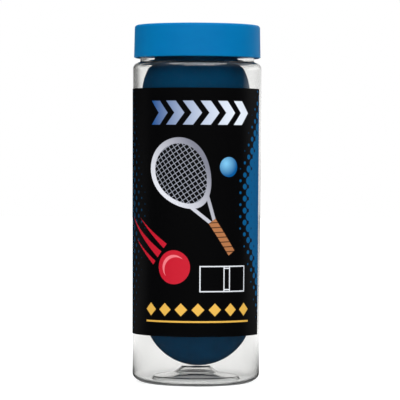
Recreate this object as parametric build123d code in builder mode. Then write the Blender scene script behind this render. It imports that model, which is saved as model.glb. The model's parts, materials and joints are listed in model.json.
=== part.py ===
from build123d import *
import os

# A clear blow-moulded can that holds a stack of hollow rubber racquetballs. A metal
# easy-open end is double-seamed to its neck, and a push-on overcap covers the end.
# Millimetres. The origin is the middle of the standing ring, +Z runs up the can's axis,
# and the middle of the label faces -Y.

# Balls
ball_diameter = 57.15
ball_wall = 3.7
ball_count = 3
ball_gap = 0.2  # under each ball at rest
lean_bottom = 1.2  # sideways rest place of the lowest ball
lean_top = -0.6  # and of the highest one
bond_tilt = 24.0  # tilt of the lowest ball's glued joint, in degrees
bond_tilt_step = 38.0  # more tilt on each ball above it

# Can body: radii from the ball outwards
neck_play = 0.975  # between a ball and the neck's bore
neck_wall = 0.7
shoulder_step = 3.75  # how far the body stands out past the neck
body_wall = 0.5
body_taper = 0.5  # how much smaller the body's radius is at the heel

# Can body: base
base_wall = 0.8
heel_height = 5.5
heel_width = 9.5
foot_width = 1.1  # the flat ring that the can stands on
foot_rise = 3.1  # height of the steep step inside that ring
foot_step = 0.9  # width of that step
dome_radius = 12.1
dome_height = 5.9
pedestal_foot_radius = 10.9
pedestal_foot_height = 6.5
pedestal_radius = 7.3
pedestal_height = 9.2

# Can body: shoulder and flange
neck_show = 2.1  # neck left bare between the overcap and the shoulder
shoulder_drop = 1.0
shoulder_round = 3.4
flange_hook = 2.1

# Metal end
end_sheet = 0.25
end_play = 0.3  # between the highest ball and the panel
panel_depth = 6.1  # from the seam's top to the panel
countersink_depth = 1.1  # from the panel to the bottom of the countersink
countersink_width = 1.5
chuck_taper = 0.5
seam_gap = 0.06
seam_height = 3.0
seam_hook = 1.7
seam_bevel = 0.2  # where the sheet bends over the flange
compound_layer = 0.12
score_radius = 26.2
score_depth = 0.12
score_width = 0.3
bead_radius = 21.6
bead_height = 0.45
bead_width = 2.2
bead_arc = 96.0
well_place = 13.6
well_radius = 6.4
well_depth = 0.7
well_slope = 1.3

# Ring pull, its nose towards +Y
nose_reach = 25.3
nose_length = 3.0
nose_width = 15.0
nose_round = 3.5
rivet_back = 4.6  # from the bend line to the rivet
ring_length = 33.6  # from the bend line to the ring's far edge
ring_radius = 11.0
ring_hole_radius = 8.0
tab_lift = 0.45  # between the panel and the ring pull
tab_thickness = 1.5
tab_web = 0.5
tab_rim = 1.6
tab_rim_bevel = 0.55
tongue_sheet = 0.35
tongue_lift = 0.7
tongue_radius = 4.3
tongue_neck = 5.0
tongue_clear = 0.6
bend_clear = 0.15
rivet_radius = 2.0
rivet_play = 0.05
rivet_boss_radius = 3.0
rivet_head_radius = 3.2
rivet_head = 0.5

# Overcap
cap_wall = 1.0
cap_top_wall = 1.05
cap_seat_gap = 0.05
cap_seam_gap = 0.45
cap_skirt = 17.3
cap_draft = 0.35
cap_round = 1.5
cap_recess = 0.6  # step inside the stacking rim
cap_panel_wall = 0.8
cap_rim_width = 3.0
cap_plug_clear = 0.3
cap_bead_clear = 0.1
cap_bead_slope = 0.9
cap_bead_drop = 0.9
cap_edge_bevel = 0.3

# Label: a printed film glued round the body, with a clear window at one side
label_film = 0.1
label_glue = 0.03
label_bottom = 26.4
label_top_gap = 13.2  # from the shoulder's corner down to the label
label_window = 40.0  # degrees of bare wall
label_window_start = -15.0  # degrees from +X, where the window begins

# Radii
ball_radius = ball_diameter / 2
neck_bore = ball_radius + neck_play
neck_radius = neck_bore + neck_wall
body_radius = neck_radius + shoulder_step
heel_radius = body_radius - body_taper
foot_radius = heel_radius - heel_width
foot_bore = foot_radius - foot_width
seam_hook_radius = neck_radius + seam_gap + end_sheet / 2
flange_hook_bore = neck_radius + seam_gap + end_sheet + seam_gap
flange_radius = flange_hook_bore + neck_wall
seam_radius = flange_radius + seam_gap + end_sheet
chuck_radius = neck_bore - seam_gap - end_sheet / 2
countersink_radius = chuck_radius - chuck_taper
panel_radius = countersink_radius - countersink_width
cap_bore = seam_radius + cap_seam_gap
cap_radius = cap_bore + cap_wall
cap_rim_bore = cap_radius - cap_rim_width
cap_plug_radius = chuck_radius - end_sheet / 2 - cap_plug_clear
cap_bead_root = cap_radius - cap_wall / 2

# Heights
ball_pitch = ball_diameter + ball_gap
stack_top = pedestal_height + ball_count * ball_pitch
panel_underside = stack_top + end_play
panel_top = panel_underside + end_sheet
seam_top = panel_top + panel_depth
flange_top = seam_top - end_sheet - compound_layer
seam_bottom = seam_top - seam_height
cap_seat = seam_top + cap_seat_gap
cap_top = cap_seat + cap_top_wall
cap_bottom = cap_top - cap_skirt
cap_panel_top = cap_top - cap_recess
cap_panel_underside = cap_panel_top - cap_panel_wall
cap_bead_place = seam_bottom - cap_bead_drop
neck_root = cap_bottom - neck_show
shoulder_height = neck_root - shoulder_drop
label_top = shoulder_height - label_top_gap

# Places along the ring pull
bend_line = nose_reach - nose_length
rivet_place = bend_line - rivet_back
ring_place = bend_line - ring_length + ring_radius
tab_bottom = panel_top + tab_lift
tongue_bottom = panel_top + tongue_lift
tongue_top = tongue_bottom + tongue_sheet


def body_radius_at(height, wall=0.0):
    """Radius of the tapered body, or of its bore when the wall is given."""
    share = (height - heel_height) / (shoulder_height - heel_height)
    return heel_radius + body_taper * share - wall


def radial_plane(angle):
    """Upright plane through the can's axis, its local X at this angle from +X."""
    outwards = Vector(1, 0, 0).rotate(Axis.Z, angle)
    return Plane((0, 0, 0), x_dir=outwards, z_dir=outwards.rotate(Axis.Z, -90))


def finish(piece, name):
    """Label one piece and write its file."""
    piece.label = name
    export_step(piece, f"parts/{name}.step")


os.makedirs("parts", exist_ok=True)

# Can body: one revolved profile, from the pedestal that carries the balls out to the
# standing ring, up the thin wall, over the shoulder and out into the seamed flange.
push_up = [
    (0, pedestal_height - base_wall),
    (pedestal_radius, pedestal_height - base_wall),
    (pedestal_foot_radius, pedestal_foot_height - base_wall),
    (dome_radius, dome_height - base_wall),
    (foot_bore - foot_step, foot_rise),
    (foot_bore, 0),
    (foot_radius, 0),
]
step_shift = [0, 0, 0, 0, body_wall, body_wall, 0]  # keeps the steep step thick
push_up_inside = [
    (radius + shift, height + base_wall)
    for (radius, height), shift in zip(push_up, step_shift)
]

with BuildPart() as can_body:
    with BuildSketch(Plane.XZ):
        with BuildLine():
            Polyline(*push_up)
            EllipticalCenterArc(
                (foot_radius, heel_height),
                heel_width,
                heel_height,
                start_angle=270,
                arc_size=90,
            )
            FilletPolyline(
                (heel_radius, heel_height),
                (body_radius, shoulder_height),
                (neck_radius, neck_root),
                (neck_radius, flange_top - neck_wall),
                (flange_hook_bore, flange_top - neck_wall),
                (flange_hook_bore, flange_top - flange_hook),
                (flange_radius, flange_top - flange_hook),
                (flange_radius, flange_top),
                (neck_bore, flange_top),
                (neck_bore, neck_root - body_wall),
                (body_radius - body_wall, shoulder_height - body_wall),
                (heel_radius - body_wall, heel_height),
                radius=[shoulder_round, 0, 0, 0, 0, 0, 0, 0, 0, shoulder_round - body_wall],
            )
            EllipticalCenterArc(
                (foot_radius, heel_height),
                heel_width - body_wall,
                heel_height - base_wall,
                start_angle=270,
                arc_size=90,
            )
            Polyline(*push_up_inside)
            Line(push_up[0], push_up_inside[0])
        make_face()
    revolve(axis=Axis.Z)
finish(can_body.part, "can_body")

# Metal end: one sheet of even thickness, seamed over the flange, with the countersink,
# the scored panel, two stiffening beads, a finger well and the rivet drawn up from it.
half_sheet = end_sheet / 2
panel_mid = panel_top - half_sheet
countersink_mid = panel_mid - countersink_depth
seam_outer_mid = seam_radius - half_sheet
seam_top_mid = seam_top - half_sheet
seam_bottom_mid = seam_bottom + half_sheet
rivet_axis = Axis((0, rivet_place, 0), (0, 0, 1))
well_axis = Axis((0, -well_place, 0), (0, 0, 1))

with BuildPart() as can_end:
    with BuildSketch(Plane.XZ):
        with BuildLine():
            Polyline(
                (0, panel_mid),
                (panel_radius, panel_mid),
                (panel_radius, countersink_mid),
                (countersink_radius, countersink_mid),
                (chuck_radius, seam_bottom),
                (chuck_radius, seam_top_mid - seam_bevel),
                (chuck_radius + seam_bevel, seam_top_mid),
                (seam_outer_mid - seam_bevel, seam_top_mid),
                (seam_outer_mid, seam_top_mid - seam_bevel),
                (seam_outer_mid, seam_bottom_mid),
                (seam_hook_radius, seam_bottom_mid),
                (seam_hook_radius, seam_bottom_mid + seam_hook),
            )
        trace(line_width=end_sheet)
    revolve(axis=Axis.Z)

    # the score that the panel tears along
    with BuildSketch(Plane.XZ):
        with BuildLine():
            Polyline(
                (score_radius - score_width / 2, panel_top),
                (score_radius + score_width / 2, panel_top),
                (score_radius, panel_top - score_depth),
                close=True,
            )
        make_face()
    revolve(axis=Axis.Z, mode=Mode.SUBTRACT)

    # a stiffening bead on each side of the ring pull
    for side in (0, 180):
        bead_plane = radial_plane(side - bead_arc / 2)
        for level, mode in ((panel_top, Mode.ADD), (panel_underside, Mode.SUBTRACT)):
            with BuildSketch(bead_plane):
                with BuildLine():
                    ThreePointArc(
                        (bead_radius - bead_width / 2, level),
                        (bead_radius, level + bead_height),
                        (bead_radius + bead_width / 2, level),
                    )
                    Line(
                        (bead_radius + bead_width / 2, level),
                        (bead_radius - bead_width / 2, level),
                    )
                make_face()
            revolve(axis=Axis.Z, revolution_arc=bead_arc, mode=mode)

    # the finger well under the ring's far edge
    with Locations((0, -well_place, panel_mid)):
        Cylinder(well_radius, 2 * end_sheet, mode=Mode.SUBTRACT)
    with BuildSketch(Plane.XZ.offset(well_place)):
        with BuildLine():
            Polyline(
                (0, panel_mid - well_depth),
                (well_radius - well_slope, panel_mid - well_depth),
                (well_radius, panel_mid),
                (well_radius + end_sheet, panel_mid),
            )
        trace(line_width=end_sheet)
    revolve(axis=well_axis)

    # the hollow rivet, headed over the ring pull's tongue
    with BuildSketch(Plane.XZ.offset(-rivet_place)):
        with BuildLine():
            Polyline(
                (0, panel_mid),
                (rivet_boss_radius, panel_mid),
                (rivet_boss_radius, tongue_bottom),
                (rivet_radius, tongue_bottom),
                (rivet_radius, tongue_top),
                (rivet_head_radius, tongue_top),
                (rivet_head_radius, tongue_top + rivet_head),
                (0, tongue_top + rivet_head),
                close=True,
            )
        make_face()
    revolve(axis=rivet_axis)
    with Locations((0, rivet_place, panel_underside)):
        Cylinder(
            rivet_radius - end_sheet,
            tongue_top + rivet_head - end_sheet - panel_underside,
            align=(Align.CENTER, Align.CENTER, Align.MIN),
            mode=Mode.SUBTRACT,
        )
finish(can_end.part, "can_end")

# Sealing compound between the flange and the end's curl
with BuildPart() as seam_compound:
    with BuildSketch(Plane.XY.offset(flange_top)):
        Circle(flange_radius - seam_bevel)
        Circle(neck_bore + seam_bevel, mode=Mode.SUBTRACT)
    extrude(amount=compound_layer)
finish(seam_compound.part, "seam_compound")

# Ring pull: a curled rim round a thin web, with the finger hole and a window in which
# the riveted tongue stays behind when the ring is lifted.
nose_centre = nose_reach - nose_round
nose_side = nose_width / 2 - nose_round
pocket_depth = (tab_thickness - tab_web) / 2

with BuildPart() as pull_tab:
    with BuildSketch(Plane.XY.offset(tab_bottom)):
        with Locations((0, ring_place)):
            Circle(ring_radius)
        with Locations((nose_side, nose_centre), (-nose_side, nose_centre)):
            Circle(nose_round)
        make_hull()
    extrude(amount=tab_thickness)
    with Locations((0, ring_place, tab_bottom)):
        Cylinder(
            ring_hole_radius,
            tab_thickness,
            align=(Align.CENTER, Align.CENTER, Align.MIN),
            mode=Mode.SUBTRACT,
        )
    rim_edges = pull_tab.faces().filter_by(Axis.Z).edges()
    chamfer(rim_edges, length=tab_rim_bevel)
    for level in (tab_bottom, tab_bottom + tab_thickness - pocket_depth):
        with BuildSketch(Plane.XY.offset(level)):
            with Locations((0, ring_place)):
                Circle(ring_radius - tab_rim)
            with Locations((nose_side, nose_centre), (-nose_side, nose_centre)):
                Circle(nose_round - tab_rim)
            make_hull()
            with Locations((0, ring_place)):
                Circle(ring_hole_radius + tab_rim, mode=Mode.SUBTRACT)
        extrude(amount=pocket_depth, mode=Mode.SUBTRACT)
    with BuildSketch(Plane.XY.offset(tab_bottom)):
        with Locations((0, rivet_place)):
            Circle(tongue_radius + tongue_clear)
            Rectangle(
                tongue_neck + 2 * tongue_clear,
                bend_line - rivet_place,
                align=(Align.CENTER, Align.MIN),
            )
    extrude(amount=tab_thickness, mode=Mode.SUBTRACT)
finish(pull_tab.part, "pull_tab")

# The tongue of the ring pull's sheet that the rivet holds down
with BuildPart() as tab_tongue:
    with BuildSketch(Plane.XY.offset(tongue_bottom)):
        with Locations((0, rivet_place)):
            Circle(tongue_radius)
            Rectangle(
                tongue_neck,
                bend_line - bend_clear - rivet_place,
                align=(Align.CENTER, Align.MIN),
            )
            Circle(rivet_radius + rivet_play, mode=Mode.SUBTRACT)
    extrude(amount=tongue_sheet)
finish(tab_tongue.part, "tab_tongue")

# Overcap: drafted skirt with a snap bead under the seam, a channel over the seam, and a
# panel set down inside a rim that the next can stands in.
with BuildPart() as overcap:
    with BuildSketch(Plane.XZ):
        with BuildLine():
            FilletPolyline(
                (0, cap_panel_top),
                (cap_rim_bore, cap_panel_top),
                (cap_rim_bore, cap_top),
                (cap_radius, cap_top),
                (cap_radius + cap_draft, cap_bottom),
                (cap_bore + cap_draft, cap_bottom),
                (cap_bore, cap_seat),
                (cap_plug_radius, cap_seat),
                (cap_plug_radius, cap_panel_underside),
                (0, cap_panel_underside),
                radius=[0, 0, cap_round, 0, 0, 0, 0, 0],
            )
            Line((0, cap_panel_underside), (0, cap_panel_top))
        make_face()
        with BuildLine():
            Polyline(
                (cap_bead_root, cap_bead_place + cap_bead_slope),
                (seam_radius + cap_bead_clear, cap_bead_place),
                (cap_bead_root, cap_bead_place - cap_bead_slope),
                close=True,
            )
        make_face()
    revolve(axis=Axis.Z)
    skirt_edges = overcap.edges().group_by(Axis.Z)[0]
    chamfer(skirt_edges, length=cap_edge_bevel)
finish(overcap.part, "overcap")

# Label: a film round the tapered wall, as far as the clear window
with BuildPart() as label:
    with BuildSketch(radial_plane(label_window_start + label_window)):
        with BuildLine():
            Polyline(
                (body_radius_at(label_bottom, -label_glue), label_bottom),
                (body_radius_at(label_bottom, -label_glue - label_film), label_bottom),
                (body_radius_at(label_top, -label_glue - label_film), label_top),
                (body_radius_at(label_top, -label_glue), label_top),
                close=True,
            )
        make_face()
    revolve(axis=Axis.Z, revolution_arc=360 - label_window)
finish(label.part, "label")

# Balls: each is two hollow half shells glued on a flat joint
for index in range(ball_count):
    lean = lean_bottom + (lean_top - lean_bottom) * index / max(ball_count - 1, 1)
    centre_height = pedestal_height + ball_gap + ball_radius + index * ball_pitch
    tilt = bond_tilt + bond_tilt_step * index
    bond = Plane((lean, 0, centre_height)).rotated((tilt, 0, tilt))
    for side, keep in (("upper", Keep.TOP), ("lower", Keep.BOTTOM)):
        with BuildPart(bond) as half_shell:
            Sphere(ball_radius)
            Sphere(ball_radius - ball_wall, mode=Mode.SUBTRACT)
            split(bisect_by=bond, keep=keep)
        finish(half_shell.part, f"ball_{index + 1}_{side}_half")
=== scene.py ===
import json
import math

import bmesh
import bpy
from mathutils import Matrix, Vector


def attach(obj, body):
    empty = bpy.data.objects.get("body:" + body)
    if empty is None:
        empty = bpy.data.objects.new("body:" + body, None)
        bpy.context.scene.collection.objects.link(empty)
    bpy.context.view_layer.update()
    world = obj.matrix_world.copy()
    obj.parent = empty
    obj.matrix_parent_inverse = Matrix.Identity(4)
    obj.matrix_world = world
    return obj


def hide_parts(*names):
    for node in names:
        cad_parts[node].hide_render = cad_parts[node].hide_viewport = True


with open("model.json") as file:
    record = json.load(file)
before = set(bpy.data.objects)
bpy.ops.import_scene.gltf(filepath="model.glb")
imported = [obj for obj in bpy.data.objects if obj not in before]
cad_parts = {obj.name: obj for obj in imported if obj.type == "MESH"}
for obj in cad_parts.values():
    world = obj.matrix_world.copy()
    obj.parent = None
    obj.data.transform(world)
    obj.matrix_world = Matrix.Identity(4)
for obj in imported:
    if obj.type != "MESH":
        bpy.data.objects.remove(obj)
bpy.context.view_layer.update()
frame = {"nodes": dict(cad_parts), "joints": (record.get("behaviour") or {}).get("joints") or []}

# Everything below is in millimetres until it becomes a mesh.
MM = 0.001

# Balls
BALL_RADIUS = 28.575
BALL_WALL = 3.7
BOND_CHAMFER = 0.12  # on the outer edge of each half, which leaves the fine joint line
BOND_PLAY = 0.004  # how far each half stops short of the joint's plane

# Can body
BODY_RADIUS = 34.0
HEEL_RADIUS = 33.5
BODY_WALL = 0.5
BASE_WALL = 0.8
NECK_RADIUS = 30.25
NECK_BORE = 29.55
HEEL_HEIGHT = 5.5
FOOT_RADIUS = 24.0
SHOULDER = 168.6
NECK_ROOT = 169.6
FLANGE_TOP = 187.53
FLANGE_UNDER = 186.83
FLANGE_HOOK = 185.43
FLANGE_RADIUS = 31.32
FLANGE_BORE = 30.62
FOOT_BORE = 22.9
PUSH_UP = [  # radius, height and rounding of the base's underside
    (0.0, 8.4, 0.0),
    (7.3, 8.4, 0.7),
    (10.9, 5.7, 0.5),
    (12.1, 5.1, 0.4),
    (22.0, 3.1, 0.5),
    (FOOT_BORE, 0.0, 0.35),
]
STEEP = 21.0  # past this radius the base's inside stands out by the wall

# Overcap
GATE_HEIGHT = 0.18
GATE_RADIUS = 1.1
GATE_FOOT = 1.3
CAP_RADIUS = 33.08
CAP_DRAFT = 0.35
CAP_BORE = 32.08
CAP_TOP = 189.0
CAP_BOTTOM = 171.7
CAP_SEAT = 187.95
CAP_PANEL = 188.4
CAP_PANEL_UNDER = 187.6
CAP_RIM_BORE = 30.08
CAP_PLUG_RADIUS = 28.94
CAP_BEAD_RADIUS = 31.73
CAP_BEAD_HEIGHT = 184.0
CAP_BEAD_SLOPE = 0.9

# Label, its angles measured from +X
LABEL_BOTTOM = 26.4
LABEL_TOP = 155.4
LABEL_GLUE = 0.03
LABEL_FILM = 0.1
LABEL_START = 25.0
LABEL_END = 343.0
LABEL_FRONT = 270.0
VARNISH = 0.014  # share of light that the label's gloss sends back

# Label's print: along the film from its front, and up from its lower edge
BACK_PANEL = (-100.0, 66.0, 62.0, 96.0)  # middle, then width and height
BACK_LINE = 0.35
BACK_RULES_UP = 22.0  # from the court plan's middle
BACK_RULE_WIDTH = 1.2
BACK_COURT = (-100.0, 70.0, 48.0, 24.0)
FRONT_COURT = (15.0, 30.0, 26.0, 13.0)
COURT_LINE = 0.3
HALFTONE_PITCH = 4.4
SMALL_DOT = 1.8
LARGE_DOT = 2.95  # the dots join at this radius
DOT_EDGE = 0.4
CHEVRON_PITCH = 9.2
CHEVRON_HALF = 2.7
CHEVRON_SLANT = 0.75
CHEVRON_BAND = (4.6, 116.0, 55.2, 12.4)  # holds six whole ones
CHEVRON_FADE = (-26.0, 22.0)
RACKET = (-8.0, 84.0)
RACKET_TURN = 34
RACKET_HEAD = (14.5, 18.0)
RACKET_EGG = 0.011  # how the head widens away from the grip
RIM_HALF = 1.25
STRING_PITCH = 2.3
STRING_HALF = 0.17
LEG_SPREAD = 0.32
LEG_HALF = 0.95
LEGS_MEET = -33.0
THROAT_BOX = (0.0, -22.0, 12.0, 14.0)
GRIP_BOX = (0.0, -39.0, 4.4, 20.0)
TAPE_PITCH = 3.0
TAPE_SLANT = 0.6
TAPE_EDGE = 0.3
PRINTED_BALL = (17.5, 88.0)
PRINTED_BALL_RADIUS = 5.2
PRINTED_BALL_LIGHT = (15.9, 89.8)
PRINTED_BALL_SHADE = (0.5, 6.5)  # from and to, away from that light
COMET = (-12.0, 36.0)
COMET_TURN = -38
COMET_RADIUS = 8.8
COMET_TAILS = ((-5.6, 30.0), (0.0, 42.0), (5.6, 34.0))  # place across, and length
TAIL_TAPER = 0.062
TAIL_START = 10.6
SHINE = (-10.7, 34.6)  # middle of the disc that cuts the shine to a crescent
SHINE_RADIUS = 6.4
SHINE_CUT = 6.6
LOZENGE_PITCH = 9.0
LOZENGE_HALF = 3.4
LOZENGE_BAND = (1.0, 14.0, 63.0, 9.0)  # holds seven whole ones
RULE = (1.0, 7.8, 61.0, 0.9)

# Studio and camera, in metres and degrees. Levels are shares of white. Each edge
# is the pair of values between which something fades.
FLOOR_RADIUS = 4.0
FLOOR_DROP = 0.0002  # keeps the floor clear of the foot ring
FLOOR_LIT = 238  # grey of the floor, in 8 bits
FLOOR_MIRRORED = 60  # the same in front of the can, as its gloss shows it
FLOOR_WHITE = 0.50  # glow towards the camera
FLOOR_FAR = 0.5  # more of it towards the horizon
FLOOR_THROUGH = 0.30  # glow seen through the clear wall
FLOOR_FRONT_EDGE = (-0.3, -0.04)  # towards the front
FLOOR_FOOT_EDGE = (0.015, 0.04)  # away from the can's axis
FLOOR_FAR_EDGE = (0.2, 0.9)
AMBIENT_FRONT = 2.1
AMBIENT_BACK = 0.24
GLOSS_LEVEL = 0.015
PANEL_LEVEL = 0.9
OVERHEAD_LEVEL = 0.2
FLAG_LEVEL = 0.08
OVERHEAD_EDGE = (0.1, 0.8)  # these are along one axis of the way that is looked
PANEL_RIGHT_EDGE = (0.0, 0.3)
PANEL_AHEAD_EDGE = (0.0, 0.4)
BACKDROP_AHEAD_EDGE = (0.72, 0.95)
BACKDROP_LEFT_EDGE = (-0.4, -0.12)
GLOW_FRONT_EDGE = (0.45, 1.0)
FLAG_RIGHT_EDGE = (-0.09, -0.055)
FLAG_LEFT_EDGE = (0.14, 0.2)
TARGET = (0.0, 0.0, 0.1)
LAMPS = (  # name, place, size and power in watts
    ("overhead", (0.0, -0.2, 1.15), (1.3, 0.6), 8.0),
    ("key", (0.1, -0.95, 1.2), (1.2, 0.3), 6.0),
)
SENSOR = 36.0
PHOTO_PIXELS = 400
FOCAL_PIXELS = 2646
CAMERA_PLACE = (0.0018, -1.4, 0.118)
CAMERA_PITCH = 0.868
CAMERA_ROLL = 0.28
NEAREST = 0.1
FARTHEST = 20.0

# Mesh density
AROUND = 256
LABEL_COLUMNS = 320
LABEL_ROWS = 64
BALL_AROUND = 160
HALF_SHELL_ROWS = 40
HEEL_STEPS = 14
FILLET_STEPS = 7
BASE_RUN = 1.5  # longest straight run in the base's outline
WALL_RUN = 4.0
CAP_RUN = 3.0


def linear(red, green=None, blue=None):
    """Linear colour from 8-bit display values, grey if only one is given."""
    green = red if green is None else green
    blue = red if blue is None else blue

    def channel(value):
        share = value / 255
        return share / 12.92 if share <= 0.04045 else ((share + 0.055) / 1.055) ** 2.4

    return (channel(red), channel(green), channel(blue), 1.0)


# ---------------------------------------------------------------- meshes


def rounded(corners):
    """Points along an outline whose (radius, height, rounding) corners are filleted."""
    points = []
    for index, (radius, height, rounding) in enumerate(corners):
        here = Vector((radius, height))
        if rounding == 0 or index in (0, len(corners) - 1):
            points.append(tuple(here))
            continue
        back = (Vector(corners[index - 1][:2]) - here).normalized()
        ahead = (Vector(corners[index + 1][:2]) - here).normalized()
        half = back.angle(ahead) / 2
        start = here + back * (rounding / math.tan(half))
        centre = here + (back + ahead).normalized() * (rounding / math.sin(half))
        first = start - centre
        turn = math.pi - 2 * half
        side = 1 if first.x * ahead.y - first.y * ahead.x > 0 else -1
        for step in range(FILLET_STEPS + 1):
            angle = side * turn * step / FILLET_STEPS
            spin = Matrix.Rotation(angle, 2)
            points.append(tuple(centre + spin @ first))
    return points


def spaced(points, longest):
    """The same outline with its long straight runs divided."""
    result = [points[0]]
    for before, after in zip(points, points[1:]):
        length = math.dist(before, after)
        count = max(1, math.ceil(length / longest))
        for step in range(1, count + 1):
            share = step / count
            result.append(
                tuple(a + (b - a) * share for a, b in zip(before, after))
            )
    return result


def make_object(name, build, sharp=35.0):
    """New object from a bmesh, its normals outwards, smooth but for its sharp edges."""
    bmesh.ops.recalc_face_normals(build, faces=build.faces)
    mesh = bpy.data.meshes.new(name)
    build.to_mesh(mesh)
    build.free()
    mesh.shade_smooth()
    mesh.set_sharp_from_angle(angle=math.radians(sharp))
    made = bpy.data.objects.new(name, mesh)
    bpy.context.scene.collection.objects.link(made)
    return made


def revolved(name, outline, around=AROUND, place=None, sharp=35.0):
    """Solid of revolution from an outline that starts and ends on its axis."""
    place = place or Matrix.Identity(4)
    build = bmesh.new()
    rings = []
    for radius, height in outline:
        if radius < 1e-6:
            rings.append([build.verts.new(place @ Vector((0, 0, height * MM)))])
            continue
        ring = []
        for step in range(around):
            angle = 2 * math.pi * step / around
            flat = Vector((math.cos(angle), math.sin(angle), 0)) * radius * MM
            ring.append(build.verts.new(place @ (flat + Vector((0, 0, height * MM)))))
        rings.append(ring)
    for lower, upper in zip(rings, rings[1:]):
        for step in range(around):
            after = (step + 1) % around
            if len(lower) == 1:
                build.faces.new((lower[0], upper[step], upper[after]))
            elif len(upper) == 1:
                build.faces.new((lower[step], lower[after], upper[0]))
            else:
                build.faces.new((lower[step], lower[after], upper[after], upper[step]))
    return make_object(name, build, sharp)


def heel_points(wide, high):
    """Heel curve from the foot's flat ring up to the wall."""
    points = []
    for step in range(HEEL_STEPS + 1):
        angle = math.radians(270 + 90 * step / HEEL_STEPS)
        points.append(
            (FOOT_RADIUS + wide * math.cos(angle), HEEL_HEIGHT + high * math.sin(angle))
        )
    return points


def can_shell():
    """Clear can body: push-up base, heel, tapered wall, shoulder, neck and flange."""
    heel_width = HEEL_RADIUS - FOOT_RADIUS
    outside = rounded(PUSH_UP + [(FOOT_RADIUS - 0.3, 0.0, 0.0)])
    outside += heel_points(heel_width, HEEL_HEIGHT)
    wall = rounded(
        [
            (HEEL_RADIUS, HEEL_HEIGHT, 0.0),
            (BODY_RADIUS, SHOULDER, 3.4),
            (NECK_RADIUS, NECK_ROOT, 0.8),
            (NECK_RADIUS, FLANGE_UNDER, 0.0),
            (FLANGE_BORE, FLANGE_UNDER, 0.0),
            (FLANGE_BORE, FLANGE_HOOK, 0.0),
            (FLANGE_RADIUS, FLANGE_HOOK, 0.0),
            (FLANGE_RADIUS, FLANGE_TOP, 0.2),
            (NECK_BORE, FLANGE_TOP, 0.2),
            (NECK_BORE, NECK_ROOT - BODY_WALL, 0.6),
            (BODY_RADIUS - BODY_WALL, SHOULDER - BODY_WALL, 2.9),
            (HEEL_RADIUS - BODY_WALL, HEEL_HEIGHT, 0.0),
        ]
    )
    inside = heel_points(heel_width - BODY_WALL, HEEL_HEIGHT - BASE_WALL)[::-1]
    floor = []
    for radius, height, ease in PUSH_UP:
        shift = BODY_WALL if radius > STEEP else 0.0
        floor.append((radius + shift, height + BASE_WALL, ease))
    inside += rounded(floor + [(FOOT_RADIUS - 0.1, BASE_WALL, 0.0)])[::-1]
    outline = spaced(outside, BASE_RUN)
    outline += spaced(wall, WALL_RUN)[1:] + spaced(inside, BASE_RUN)[1:]
    piece = revolved("can_shell", outline, sharp=50.0)
    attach(piece, "can")
    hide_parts("can_body")
    return piece


def cap_shell():
    """Overcap with its stacking rim, gate mark, retaining bead and seam channel."""
    outline = rounded(
        [
            (0.0, CAP_PANEL + GATE_HEIGHT, 0.0),
            (GATE_RADIUS, CAP_PANEL + GATE_HEIGHT, 0.08),
            (GATE_FOOT, CAP_PANEL, 0.08),
            (CAP_RIM_BORE - 0.35, CAP_PANEL, 0.3),
            (CAP_RIM_BORE, CAP_TOP, 0.22),
            (CAP_RADIUS, CAP_TOP, 1.5),
            (CAP_RADIUS + CAP_DRAFT, CAP_BOTTOM, 0.3),
            (CAP_BORE + CAP_DRAFT, CAP_BOTTOM, 0.35),
            (CAP_BORE + 0.1, CAP_BEAD_HEIGHT - CAP_BEAD_SLOPE, 0.2),
            (CAP_BEAD_RADIUS, CAP_BEAD_HEIGHT, 0.3),
            (CAP_BORE, CAP_BEAD_HEIGHT + CAP_BEAD_SLOPE, 0.2),
            (CAP_BORE, CAP_SEAT, 0.25),
            (CAP_PLUG_RADIUS, CAP_SEAT, 0.0),
            (CAP_PLUG_RADIUS, CAP_PANEL_UNDER, 0.12),
            (0.0, CAP_PANEL_UNDER, 0.0),
        ]
    )
    piece = revolved("cap_shell", spaced(outline, CAP_RUN), sharp=60.0)
    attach(piece, "overcap")
    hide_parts("overcap")
    return piece


def wall_radius(height):
    """Outer radius of the tapered wall at a height."""
    share = (height - HEEL_HEIGHT) / (SHOULDER - HEEL_HEIGHT)
    return HEEL_RADIUS + (BODY_RADIUS - HEEL_RADIUS) * share


def film_skin(build, lift):
    """Rows of vertices over the label's span, that far outside the wall."""
    rows = []
    for row in range(LABEL_ROWS + 1):
        height = LABEL_BOTTOM + (LABEL_TOP - LABEL_BOTTOM) * row / LABEL_ROWS
        radius = wall_radius(height) + lift
        line = []
        for column in range(LABEL_COLUMNS + 1):
            share = column / LABEL_COLUMNS
            angle = math.radians(LABEL_START + (LABEL_END - LABEL_START) * share)
            spot = (radius * math.cos(angle), radius * math.sin(angle), height)
            line.append(build.verts.new(Vector(spot) * MM))
        rows.append(line)
    return rows


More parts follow.
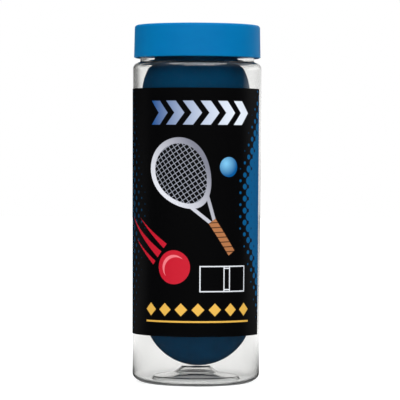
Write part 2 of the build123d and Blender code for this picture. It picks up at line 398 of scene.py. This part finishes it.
def label_wrap():
    """Printed film round the wall, with a flat map of its outer face in metres."""
    build = bmesh.new()
    inner = film_skin(build, LABEL_GLUE)
    outer = film_skin(build, LABEL_GLUE + LABEL_FILM)
    chart = build.loops.layers.uv.new("label_map")
    for row in range(LABEL_ROWS):
        for column in range(LABEL_COLUMNS):
            for slot, skin in enumerate((outer, inner)):
                quad = (
                    skin[row][column],
                    skin[row][column + 1],
                    skin[row + 1][column + 1],
                    skin[row + 1][column],
                )
                build.faces.new(quad).material_index = slot
    for row in (0, LABEL_ROWS):
        for column in range(LABEL_COLUMNS):
            edge = (
                inner[row][column],
                inner[row][column + 1],
                outer[row][column + 1],
                outer[row][column],
            )
            build.faces.new(edge)
    for column in (0, LABEL_COLUMNS):
        for row in range(LABEL_ROWS):
            edge = (
                inner[row][column],
                outer[row][column],
                outer[row + 1][column],
                inner[row + 1][column],
            )
            build.faces.new(edge)
    for face in build.faces:
        for loop in face.loops:
            spot = loop.vert.co / MM
            angle = math.degrees(math.atan2(spot.y, spot.x)) % 360
            along = math.radians(angle - LABEL_FRONT) * BODY_RADIUS
            loop[chart].uv = (along * MM, (spot.z - LABEL_BOTTOM) * MM)
    piece = make_object("label_wrap", build, sharp=60.0)
    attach(piece, "can")
    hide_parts("label")
    return piece


def node_centroid(name):
    """Area-weighted middle of a CAD node's faces."""
    total = Vector((0, 0, 0))
    area = 0.0
    for face in frame["nodes"][name].data.polygons:
        total += face.center * face.area
        area += face.area
    return total / area


def ball_halves(index):
    """The two dense half shells of one ball, on the joint plane of its CAD halves."""
    names = [f"ball_{index}_{side}_half" for side in ("upper", "lower")]
    joint = next(j for j in frame["joints"] if j["name"] == f"ball_{index}_spin")
    centre = Vector(joint["pos_m"])
    across = (node_centroid(names[0]) - node_centroid(names[1])).normalized()
    outline = []
    first = math.degrees(math.asin(BOND_CHAMFER / BALL_RADIUS))
    for row in range(HALF_SHELL_ROWS + 1):
        angle = math.radians(90 - (90 - first) * row / HALF_SHELL_ROWS)
        outline.append((BALL_RADIUS * math.cos(angle), BALL_RADIUS * math.sin(angle)))
    outline[0] = (0.0, BALL_RADIUS)
    outline.append((BALL_RADIUS - BOND_CHAMFER, BOND_PLAY))
    inner_radius = BALL_RADIUS - BALL_WALL
    for row in range(HALF_SHELL_ROWS + 1):
        angle = math.radians(90 * row / HALF_SHELL_ROWS)
        spot = (inner_radius * math.cos(angle), inner_radius * math.sin(angle))
        outline.append((spot[0], max(spot[1], BOND_PLAY)))
    outline[-1] = (0.0, inner_radius)
    for name, way in zip(names, (across, -across)):
        turn = way.to_track_quat("Z", "Y").to_matrix().to_4x4()
        place = Matrix.Translation(centre) @ turn
        piece = revolved(f"{name}_shell", outline, BALL_AROUND, place, sharp=30.0)
        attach(piece, f"ball_{index}")
        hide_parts(name)
        yield piece


# ------------------------------------------------------------- materials


class Field:
    """A value socket that plain arithmetic turns into math nodes."""

    def __init__(self, nodes, socket):
        self.nodes = nodes
        self.socket = socket

    def math(self, operation, *others, clamp=False):
        node = self.nodes.tree.nodes.new("ShaderNodeMath")
        node.operation = operation
        node.use_clamp = clamp
        for place, value in enumerate((self, *others)):
            self.nodes.feed(node.inputs[place], value)
        return Field(self.nodes, node.outputs[0])

    def __add__(self, other):
        return self.math("ADD", other)

    def __sub__(self, other):
        return self.math("SUBTRACT", other)

    def __mul__(self, other):
        return self.math("MULTIPLY", other)

    def __truediv__(self, other):
        return self.math("DIVIDE", other)

    def __neg__(self):
        return self.math("MULTIPLY", -1.0)

    def __abs__(self):
        return self.math("ABSOLUTE")

    def greatest(self, other):
        return self.math("MAXIMUM", other)

    def least(self, other):
        return self.math("MINIMUM", other)

    def root(self):
        return self.math("SQRT")

    def within(self, pitch):
        """Distance to the nearest multiple of the pitch."""
        return self.math("PINGPONG", pitch / 2)

    def inside(self, soft=0.14):
        """1 where this distance is below zero, with a soft edge."""
        return (self * (-1 / soft)).math("ADD", 0.5, clamp=True)


class Nodes:
    """Builds the node tree of one material or world."""

    def __init__(self, owner):
        owner.use_nodes = True
        self.owner = owner
        self.tree = owner.node_tree
        self.tree.nodes.clear()

    def feed(self, socket, value):
        if isinstance(value, Field):
            self.tree.links.new(value.socket, socket)
        elif isinstance(value, bpy.types.NodeSocket):
            self.tree.links.new(value, socket)
        else:
            socket.default_value = value

    def add(self, kind, inputs=None, **settings):
        node = self.tree.nodes.new(kind)
        for key, value in settings.items():
            setattr(node, key, value)
        for key, value in (inputs or {}).items():
            self.feed(node.inputs[key], value)
        return node

    def blend(self, share, under, over):
        """Colour that goes from under to over as share goes from 0 to 1."""
        node = self.add("ShaderNodeMix", data_type="RGBA")
        self.feed(node.inputs[0], share)
        self.feed(node.inputs[6], under)
        self.feed(node.inputs[7], over)
        return node.outputs[2]

    def noise(self, scale, stretch=(1, 1, 1), detail=2.0, rough=0.5):
        """Noise value over the object's own place in metres."""
        place = self.add("ShaderNodeTexCoord").outputs["Object"]
        sized = self.add("ShaderNodeMapping", {"Vector": place, "Scale": stretch})
        grain = self.add(
            "ShaderNodeTexNoise",
            {
                "Vector": sized.outputs[0],
                "Scale": scale,
                "Detail": detail,
                "Roughness": rough,
            },
        )
        return Field(self, grain.outputs[0])

    def path(self, output):
        return Field(self, self.add("ShaderNodeLightPath").outputs[output])

    def no_bounce(self, depth):
        """1 where the ray has not bounced in that way."""
        return self.path(depth).math("LESS_THAN", 0.5)

    def looks(self):
        """What the camera sees, also through clear walls, and what gloss shows."""
        through = self.path("Is Transmission Ray") * self.no_bounce("Diffuse Depth")
        straight = through * self.no_bounce("Glossy Depth")
        glossy = self.path("Is Glossy Ray") * self.no_bounce("Diffuse Depth")
        mirrored = glossy.greatest(through) - straight
        return straight.greatest(self.path("Is Camera Ray")), mirrored

    def bump(self, height, distance, strength=1.0):
        """Normal from a height field of that depth in metres."""
        node = self.add(
            "ShaderNodeBump",
            {"Height": height, "Distance": distance, "Strength": strength},
        )
        return node.outputs[0]

    def finish(self, surface):
        kind = "World" if isinstance(self.owner, bpy.types.World) else "Material"
        end = self.add(f"ShaderNodeOutput{kind}")
        self.tree.links.new(surface, end.inputs["Surface"])


def material(name):
    return Nodes(bpy.data.materials.new(name))


def mixed(nodes, share, first, second):
    """Shader that goes from the first to the second as share goes from 0 to 1."""
    both = nodes.add("ShaderNodeMixShader", {0: share})
    nodes.tree.links.new(first.outputs[0], both.inputs[1])
    nodes.tree.links.new(second.outputs[0], both.inputs[2])
    return both.outputs[0]


def clear_plastic():
    """Clear bottle plastic, greyer where it is seen edge on, with faint blow marks."""
    nodes = material("clear_plastic_wall")
    facing = Field(nodes, nodes.add("ShaderNodeLayerWeight", {"Blend": 0.5}).outputs[1])
    edge = facing.math("POWER", 6.0)
    tint = nodes.blend(edge, linear(253, 253, 252), linear(226, 225, 223))
    waves = nodes.noise(55.0, stretch=(1, 1, 0.35), detail=1.0)
    shader = nodes.add(
        "ShaderNodeBsdfPrincipled",
        {
            "Base Color": tint,
            "Roughness": 0.02,
            "IOR": 1.575,
            "Transmission Weight": 1.0,
            "Normal": nodes.bump(waves, 0.00012),
        },
    )
    lamps = nodes.add("ShaderNodeBsdfTransparent", {"Color": linear(247, 248, 248)})
    nodes.finish(mixed(nodes, nodes.path("Is Shadow Ray"), shader, lamps))
    return nodes.owner


def cap_plastic():
    """Satin blue polyethylene with a fine moulded grain and faint flow streaks."""
    nodes = material("cap_polyethylene")
    flow = nodes.noise(60.0, stretch=(1, 1, 3), detail=3.0)
    colour = nodes.blend(flow, linear(0, 106, 163), linear(0, 115, 173))
    grain = nodes.noise(2600.0, detail=2.0)
    shader = nodes.add(
        "ShaderNodeBsdfPrincipled",
        {
            "Base Color": colour,
            "Subsurface Weight": 0.6,
            "Subsurface Radius": (0.25, 0.7, 1.0),
            "Subsurface Scale": 0.0012,
            "Roughness": flow * 0.12 + 0.4,
            "Specular IOR Level": 0.05,
            "Normal": nodes.bump(grain, 0.00002, 0.5),
        },
    )
    nodes.finish(shader.outputs[0])
    return nodes.owner


def ball_rubber():
    """Matte blue moulded rubber: buffed grain, soft mottling, faint sheen."""
    nodes = material("blue_rubber")
    mottle = nodes.noise(140.0, detail=4.0)
    colour = nodes.blend(mottle, linear(0, 49, 77), linear(0, 60, 94))
    grain = nodes.noise(2200.0, detail=3.0, rough=0.7)
    shader = nodes.add(
        "ShaderNodeBsdfPrincipled",
        {
            "Base Color": colour,
            "Roughness": mottle * 0.15 + 0.55,
            "Specular IOR Level": 0.02,
            "Normal": nodes.bump(grain, 0.00004, 0.6),
        },
    )
    nodes.finish(shader.outputs[0])
    return nodes.owner


def end_metal():
    """Lacquered aluminium sheet with the rolling mill's fine lines."""
    nodes = material("rolled_aluminium")
    lines = nodes.noise(900.0, stretch=(0.02, 1, 1), detail=3.0, rough=0.6)
    colour = nodes.blend(lines, linear(206, 207, 210), linear(232, 233, 235))
    shader = nodes.add(
        "ShaderNodeBsdfPrincipled",
        {
            "Base Color": colour,
            "Metallic": 0.55,
            "Roughness": lines * 0.16 + 0.28,
            "Normal": nodes.bump(lines, 0.00001, 0.5),
        },
    )
    nodes.finish(shader.outputs[0])
    return nodes.owner


def sealing_compound():
    """Cured sealing compound, slightly uneven."""
    nodes = material("sealing_compound")
    lumps = nodes.noise(700.0, detail=3.0)
    colour = nodes.blend(lumps, linear(176, 172, 160), linear(204, 200, 188))
    shader = nodes.add(
        "ShaderNodeBsdfPrincipled",
        {
            "Base Color": colour,
            "Roughness": 0.7,
            "Normal": nodes.bump(lumps, 0.00003),
        },
    )
    nodes.finish(shader.outputs[0])
    return nodes.owner


def label_back():
    """Unprinted side of the film, seen through the clear wall."""
    nodes = material("label_back")
    fibres = nodes.noise(400.0, stretch=(1, 1, 0.3), detail=3.0)
    colour = nodes.blend(fibres, linear(150, 154, 160), linear(172, 175, 180))
    shader = nodes.add(
        "ShaderNodeBsdfPrincipled", {"Base Color": colour, "Roughness": 0.55}
    )
    nodes.finish(shader.outputs[0])
    return nodes.owner


def turned(x, y, place, degrees):
    """Coordinates about a place, turned by an angle."""
    cosine = math.cos(math.radians(degrees))
    sine = math.sin(math.radians(degrees))
    across = x - place[0]
    up = y - place[1]
    return across * cosine + up * sine, up * cosine - across * sine


def oval(x, y, wide, high):
    """Distance outside an oval about the middle, near enough at its edge."""
    reach = ((x / wide) * (x / wide) + (y / high) * (y / high)).root()
    return (reach - 1.0) * min(wide, high)


def slab(x, y, wide, high):
    """Distance outside a rectangle about the middle."""
    return (abs(x) - wide / 2).greatest(abs(y) - high / 2)


def placed_slab(x, y, box):
    """Distance outside a rectangle given by its middle, width and height."""
    left, low, wide, high = box
    return slab(x - left, y - low, wide, high)


def circle(x, y, place, radius):
    """Distance outside a circle."""
    across = x - place[0]
    up = y - place[1]
    return (across * across + up * up).root() - radius


def ramp(value, low, high):
    """Goes from 0 to 1 as the value goes from low to high."""
    return ((value - low) / (high - low)).math("ADD", 0.0, clamp=True)


def halftone(x, y, swell):
    """Distance outside a diamond grid of dots of that radius."""
    slant, climb = turned(x, y, (0, 0), 45)
    aside = slant.within(HALFTONE_PITCH)
    above = climb.within(HALFTONE_PITCH)
    return (aside * aside + above * above).root() - swell


def comet(x, y):
    """Distance outside a disc with three tapering streaks behind it."""
    along, aside = turned(x, y, COMET, COMET_TURN)
    distance = (along * along + aside * aside).root() - COMET_RADIUS
    for offset, length in COMET_TAILS:
        taper = abs(aside - offset) - (along + length) * TAIL_TAPER
        distance = distance.least(taper.greatest(along + TAIL_START))
    return distance


def racket(x, y):
    """Distances outside a racket's frame, its strings, its throat and its grip."""
    across, up = turned(x, y, RACKET, RACKET_TURN)
    width = across / (up * RACKET_EGG + 1.0)
    head = oval(width, up, *RACKET_HEAD)
    rim = abs(head) - RIM_HALF
    mesh = across.within(STRING_PITCH).least(up.within(STRING_PITCH)) - STRING_HALF
    strings = mesh.greatest(head)
    legs = abs(abs(across) - (up - LEGS_MEET) * LEG_SPREAD) - LEG_HALF
    throat = legs.greatest(placed_slab(across, up, THROAT_BOX)).greatest(-head)
    grip = placed_slab(across, up, GRIP_BOX)
    return rim, strings, throat, grip, across, up


def court(x, y, box):
    """Distance outside the lines of a court seen in plan."""
    left, low, wide, high = box
    across = x - left
    up = y - low
    inside = slab(across, up, wide, high)
    border = abs(inside) - COURT_LINE
    short = abs(across) - COURT_LINE
    service = abs(across - wide / 8) - COURT_LINE
    boxes = abs(abs(up) - high * 0.425) - COURT_LINE
    rows = boxes.greatest(slab(across - wide / 16, up, wide / 8, high))
    return border.least(short.least(service).least(rows).greatest(inside))


def label_print():
    """Printed face: black ground, halftones, comet, racket, chevrons and court plan."""
    nodes = material("label_print")
    chart = nodes.add("ShaderNodeUVMap", uv_map="label_map")
    parts = nodes.add("ShaderNodeSeparateXYZ", {0: chart.outputs[0]})
    x = Field(nodes, parts.outputs[0]) * (1 / MM)
    y = Field(nodes, parts.outputs[1]) * (1 / MM)

    # halftones that swell towards the window on the right and round the left side
    colour = linear(5, 5, 6)
    round_left = (-x - 27.0) * 0.1 - abs(y - 62.0) * 0.02
    dim = halftone(x, y, round_left.least(SMALL_DOT)).inside(DOT_EDGE)
    colour = nodes.blend(dim, colour, linear(4, 52, 80))
    ends = (abs(y - 70.0) - 12.0).greatest(0.0)
    to_right = (x - 22.0) * 0.24 - ends * 0.085
    bright = halftone(x, y, to_right.least(LARGE_DOT)).inside(DOT_EDGE)
    colour = nodes.blend(bright, colour, linear(0, 86, 136))

    # back panel: a framed court plan between two gold rules
    back = placed_slab(x, y, BACK_PANEL)
    colour = nodes.blend(back.inside(), colour, linear(8, 8, 9))
    frame_line = abs(back) - BACK_LINE
    colour = nodes.blend(frame_line.inside(), colour, linear(150, 156, 170))
    plan = court(x, y, BACK_COURT)
    colour = nodes.blend(plan.inside(), colour, linear(214, 218, 226))
    middle, height, wide, _ = BACK_COURT
    off_rules = abs(y - height) - BACK_RULES_UP
    rules = slab(x - middle, off_rules, wide, BACK_RULE_WIDTH)
    colour = nodes.blend(rules.inside(), colour, linear(222, 172, 74))

    # band of chevrons that run to the right across the top, from blue to white
    run = x + abs(y - CHEVRON_BAND[1]) * CHEVRON_SLANT
    stripes = run.within(CHEVRON_PITCH) - CHEVRON_HALF
    chevrons = stripes.greatest(placed_slab(run, y, CHEVRON_BAND))
    fade = ramp(x, *CHEVRON_FADE)
    fade = nodes.blend(fade, linear(0, 74, 140), linear(222, 230, 240))
    colour = nodes.blend(chevrons.inside(), colour, fade)

    # racket and its ball
    rim, strings, throat, grip, across, up = racket(x, y)
    side = ramp(across, -15.0, 14.0)
    shade = nodes.blend(side, linear(222, 224, 232), linear(120, 122, 136))
    colour = nodes.blend(strings.inside(), colour, linear(150, 154, 166))
    colour = nodes.blend(rim.least(throat).inside(), colour, shade)
    edges = (up + across * TAPE_SLANT).within(TAPE_PITCH) - TAPE_EDGE
    tape = nodes.blend(edges.inside(0.3), linear(172, 112, 70), linear(70, 44, 30))
    colour = nodes.blend(grip.inside(), colour, tape)
    from_light = ramp(circle(x, y, PRINTED_BALL_LIGHT, 0.0), *PRINTED_BALL_SHADE)
    shade = nodes.blend(from_light, linear(120, 190, 228), linear(0, 84, 146))
    ball = circle(x, y, PRINTED_BALL, PRINTED_BALL_RADIUS)
    colour = nodes.blend(ball.inside(), colour, shade)

    # red comet on the left, with a shine
    colour = nodes.blend(comet(x, y).inside(), colour, linear(192, 24, 44))
    disc = circle(x, y, COMET, SHINE_RADIUS)
    shine = disc.greatest(-circle(x, y, SHINE, SHINE_CUT))
    colour = nodes.blend(shine.inside(), colour, linear(232, 120, 128))

    # court plan on the right, and gold lozenges over a rule near the heel
    plan = court(x, y, FRONT_COURT)
    colour = nodes.blend(plan.inside(), colour, linear(222, 226, 232))
    left, low = LOZENGE_BAND[:2]
    lozenges = (x - left).within(LOZENGE_PITCH) + abs(y - low) - LOZENGE_HALF
    row = lozenges.greatest(placed_slab(x, y, LOZENGE_BAND))
    gold = row.least(placed_slab(x, y, RULE))
    colour = nodes.blend(gold.inside(), colour, linear(224, 176, 78))

    waves = nodes.noise(45.0, stretch=(1, 1, 0.5), detail=2.0)
    normal = nodes.bump(waves, 0.00008)
    ink = nodes.add(
        "ShaderNodeBsdfPrincipled",
        {
            "Base Color": colour,
            "Roughness": 0.5,
            "Specular IOR Level": 0.0,
            "Normal": normal,
        },
    )
    gloss = nodes.add(
        "ShaderNodeBsdfGlossy",
        {"Roughness": waves * 0.1 + 0.26, "Normal": normal},
    )
    nodes.finish(mixed(nodes, VARNISH, ink, gloss))
    return nodes.owner


# ---------------------------------------------------------------- studio


def studio_floor():
    """White floor that still takes the object's shadow."""
    build = bmesh.new()
    bmesh.ops.create_circle(build, cap_ends=True, segments=96, radius=FLOOR_RADIUS)
    floor = make_object("studio_floor", build)
    floor.location.z = -FLOOR_DROP
    nodes = material("studio_floor_white")
    seen, mirrored = nodes.looks()
    place = nodes.add("ShaderNodeTexCoord").outputs["Object"]
    parts = nodes.add("ShaderNodeSeparateXYZ", {0: place})
    length = nodes.add("ShaderNodeVectorMath", {0: place}, operation="LENGTH")
    reach = Field(nodes, length.outputs[1])
    # gloss shows the floor dark in front of the can, but not right at its foot
    front = ramp(-Field(nodes, parts.outputs[1]), *FLOOR_FRONT_EDGE)
    front = front * ramp(reach, *FLOOR_FOOT_EDGE)
    bare = nodes.blend(mirrored * front, linear(FLOOR_LIT), linear(FLOOR_MIRRORED))
    lit = nodes.add("ShaderNodeBsdfDiffuse", {"Color": bare})
    shown = (seen + mirrored * (front * -1.0 + 1.0)) * FLOOR_THROUGH
    # the camera sees it whiter than the clear wall does, and whitest far away
    far = ramp(reach, *FLOOR_FAR_EDGE) * FLOOR_FAR
    bright = far + (FLOOR_WHITE - FLOOR_THROUGH)
    direct = nodes.path("Is Camera Ray") * bright
    white = nodes.add("ShaderNodeEmission", {"Strength": shown + direct})
    both = nodes.add("ShaderNodeAddShader")
    nodes.tree.links.new(lit.outputs[0], both.inputs[0])
    nodes.tree.links.new(white.outputs[0], both.inputs[1])
    nodes.finish(both.outputs[0])
    floor.data.materials.append(nodes.owner)


def surroundings():
    """White background for the camera, and a grey glow that lights the object."""
    world = bpy.data.worlds.new("studio")
    bpy.context.scene.world = world
    nodes = Nodes(world)
    seen, mirrored = nodes.looks()
    place = nodes.add("ShaderNodeTexCoord").outputs["Generated"]
    axes = nodes.add("ShaderNodeSeparateXYZ", {0: place})
    right, ahead, above = (Field(nodes, one) for one in axes.outputs)
    # what gloss shows: white behind and on the right, grey overhead, dim in front
    overhead = ramp(above, *OVERHEAD_EDGE) * OVERHEAD_LEVEL
    panel = ramp(right, *PANEL_RIGHT_EDGE) * ramp(ahead, *PANEL_AHEAD_EDGE)
    panel = panel * PANEL_LEVEL
    backdrop = ramp(ahead, *BACKDROP_AHEAD_EDGE) * ramp(right, *BACKDROP_LEFT_EDGE)
    white = overhead.greatest(panel).greatest(backdrop)
    level = white * (1.0 - GLOSS_LEVEL) + GLOSS_LEVEL
    # what lights the object: a plain glow, strongest from in front
    in_front = ramp(-ahead, *GLOW_FRONT_EDGE)
    glow = in_front * (AMBIENT_FRONT - AMBIENT_BACK) + AMBIENT_BACK
    # what shows through the clear wall: white, but for a dark flag on the left
    # that the wall's limb bends into view
    bare = ramp(right, *FLAG_RIGHT_EDGE).greatest(ramp(-right, *FLAG_LEFT_EDGE))
    clear = seen * (bare * (1.0 - FLAG_LEVEL) + FLAG_LEVEL)
    clear = clear.greatest(nodes.path("Is Camera Ray"))
    strength = glow + seen * (clear - glow) + mirrored * (level - glow)
    back = nodes.add(
        "ShaderNodeBackground", {"Color": (1, 1, 1, 1), "Strength": strength}
    )
    nodes.finish(back.outputs[0])


def lamp(name, place, size, power):
    """Soft rectangular lamp at a place, in metres, turned to the object."""
    data = bpy.data.lights.new(name, "AREA")
    data.shape = "RECTANGLE"
    data.size, data.size_y = size
    data.energy = power
    made = bpy.data.objects.new(name, data)
    made.location = place
    aim = Vector(TARGET) - Vector(place)
    made.rotation_euler = aim.to_track_quat("-Z", "Y").to_euler()
    bpy.context.scene.collection.objects.link(made)


def camera():
    """Long lens a little above the can's middle, pitched and rolled as in the photo."""
    data = bpy.data.cameras.new("camera")
    data.sensor_width = SENSOR
    data.lens = FOCAL_PIXELS * SENSOR / PHOTO_PIXELS
    data.clip_start = NEAREST
    data.clip_end = FARTHEST
    made = bpy.data.objects.new("camera", data)
    made.location = CAMERA_PLACE
    tilt = Matrix.Rotation(math.radians(90 - CAMERA_PITCH), 4, "X")
    roll = Matrix.Rotation(math.radians(CAMERA_ROLL), 4, "Z")
    made.rotation_euler = (tilt @ roll).to_euler()
    bpy.context.scene.collection.objects.link(made)
    bpy.context.scene.camera = made


def paint(piece, *materials):
    """Gives a new piece its materials, in the order of its faces' indices."""
    for one in materials:
        piece.data.materials.append(one)


def repaint(node, new):
    """Gives a shown CAD node a better material in every slot."""
    piece = frame["nodes"][node]
    for slot in piece.material_slots:
        slot.material = new


paint(can_shell(), clear_plastic())
paint(cap_shell(), cap_plastic())
paint(label_wrap(), label_print(), label_back())
rubber = ball_rubber()
for index in (1, 2, 3):
    for piece in ball_halves(index):
        paint(piece, rubber)
metal = end_metal()
for node in ("can_end", "pull_tab", "tab_tongue"):
    repaint(node, metal)
repaint("seam_compound", sealing_compound())

studio_floor()
surroundings()
for settings in LAMPS:
    lamp(*settings)
camera()
bpy.context.scene.view_settings.view_transform = "Standard"
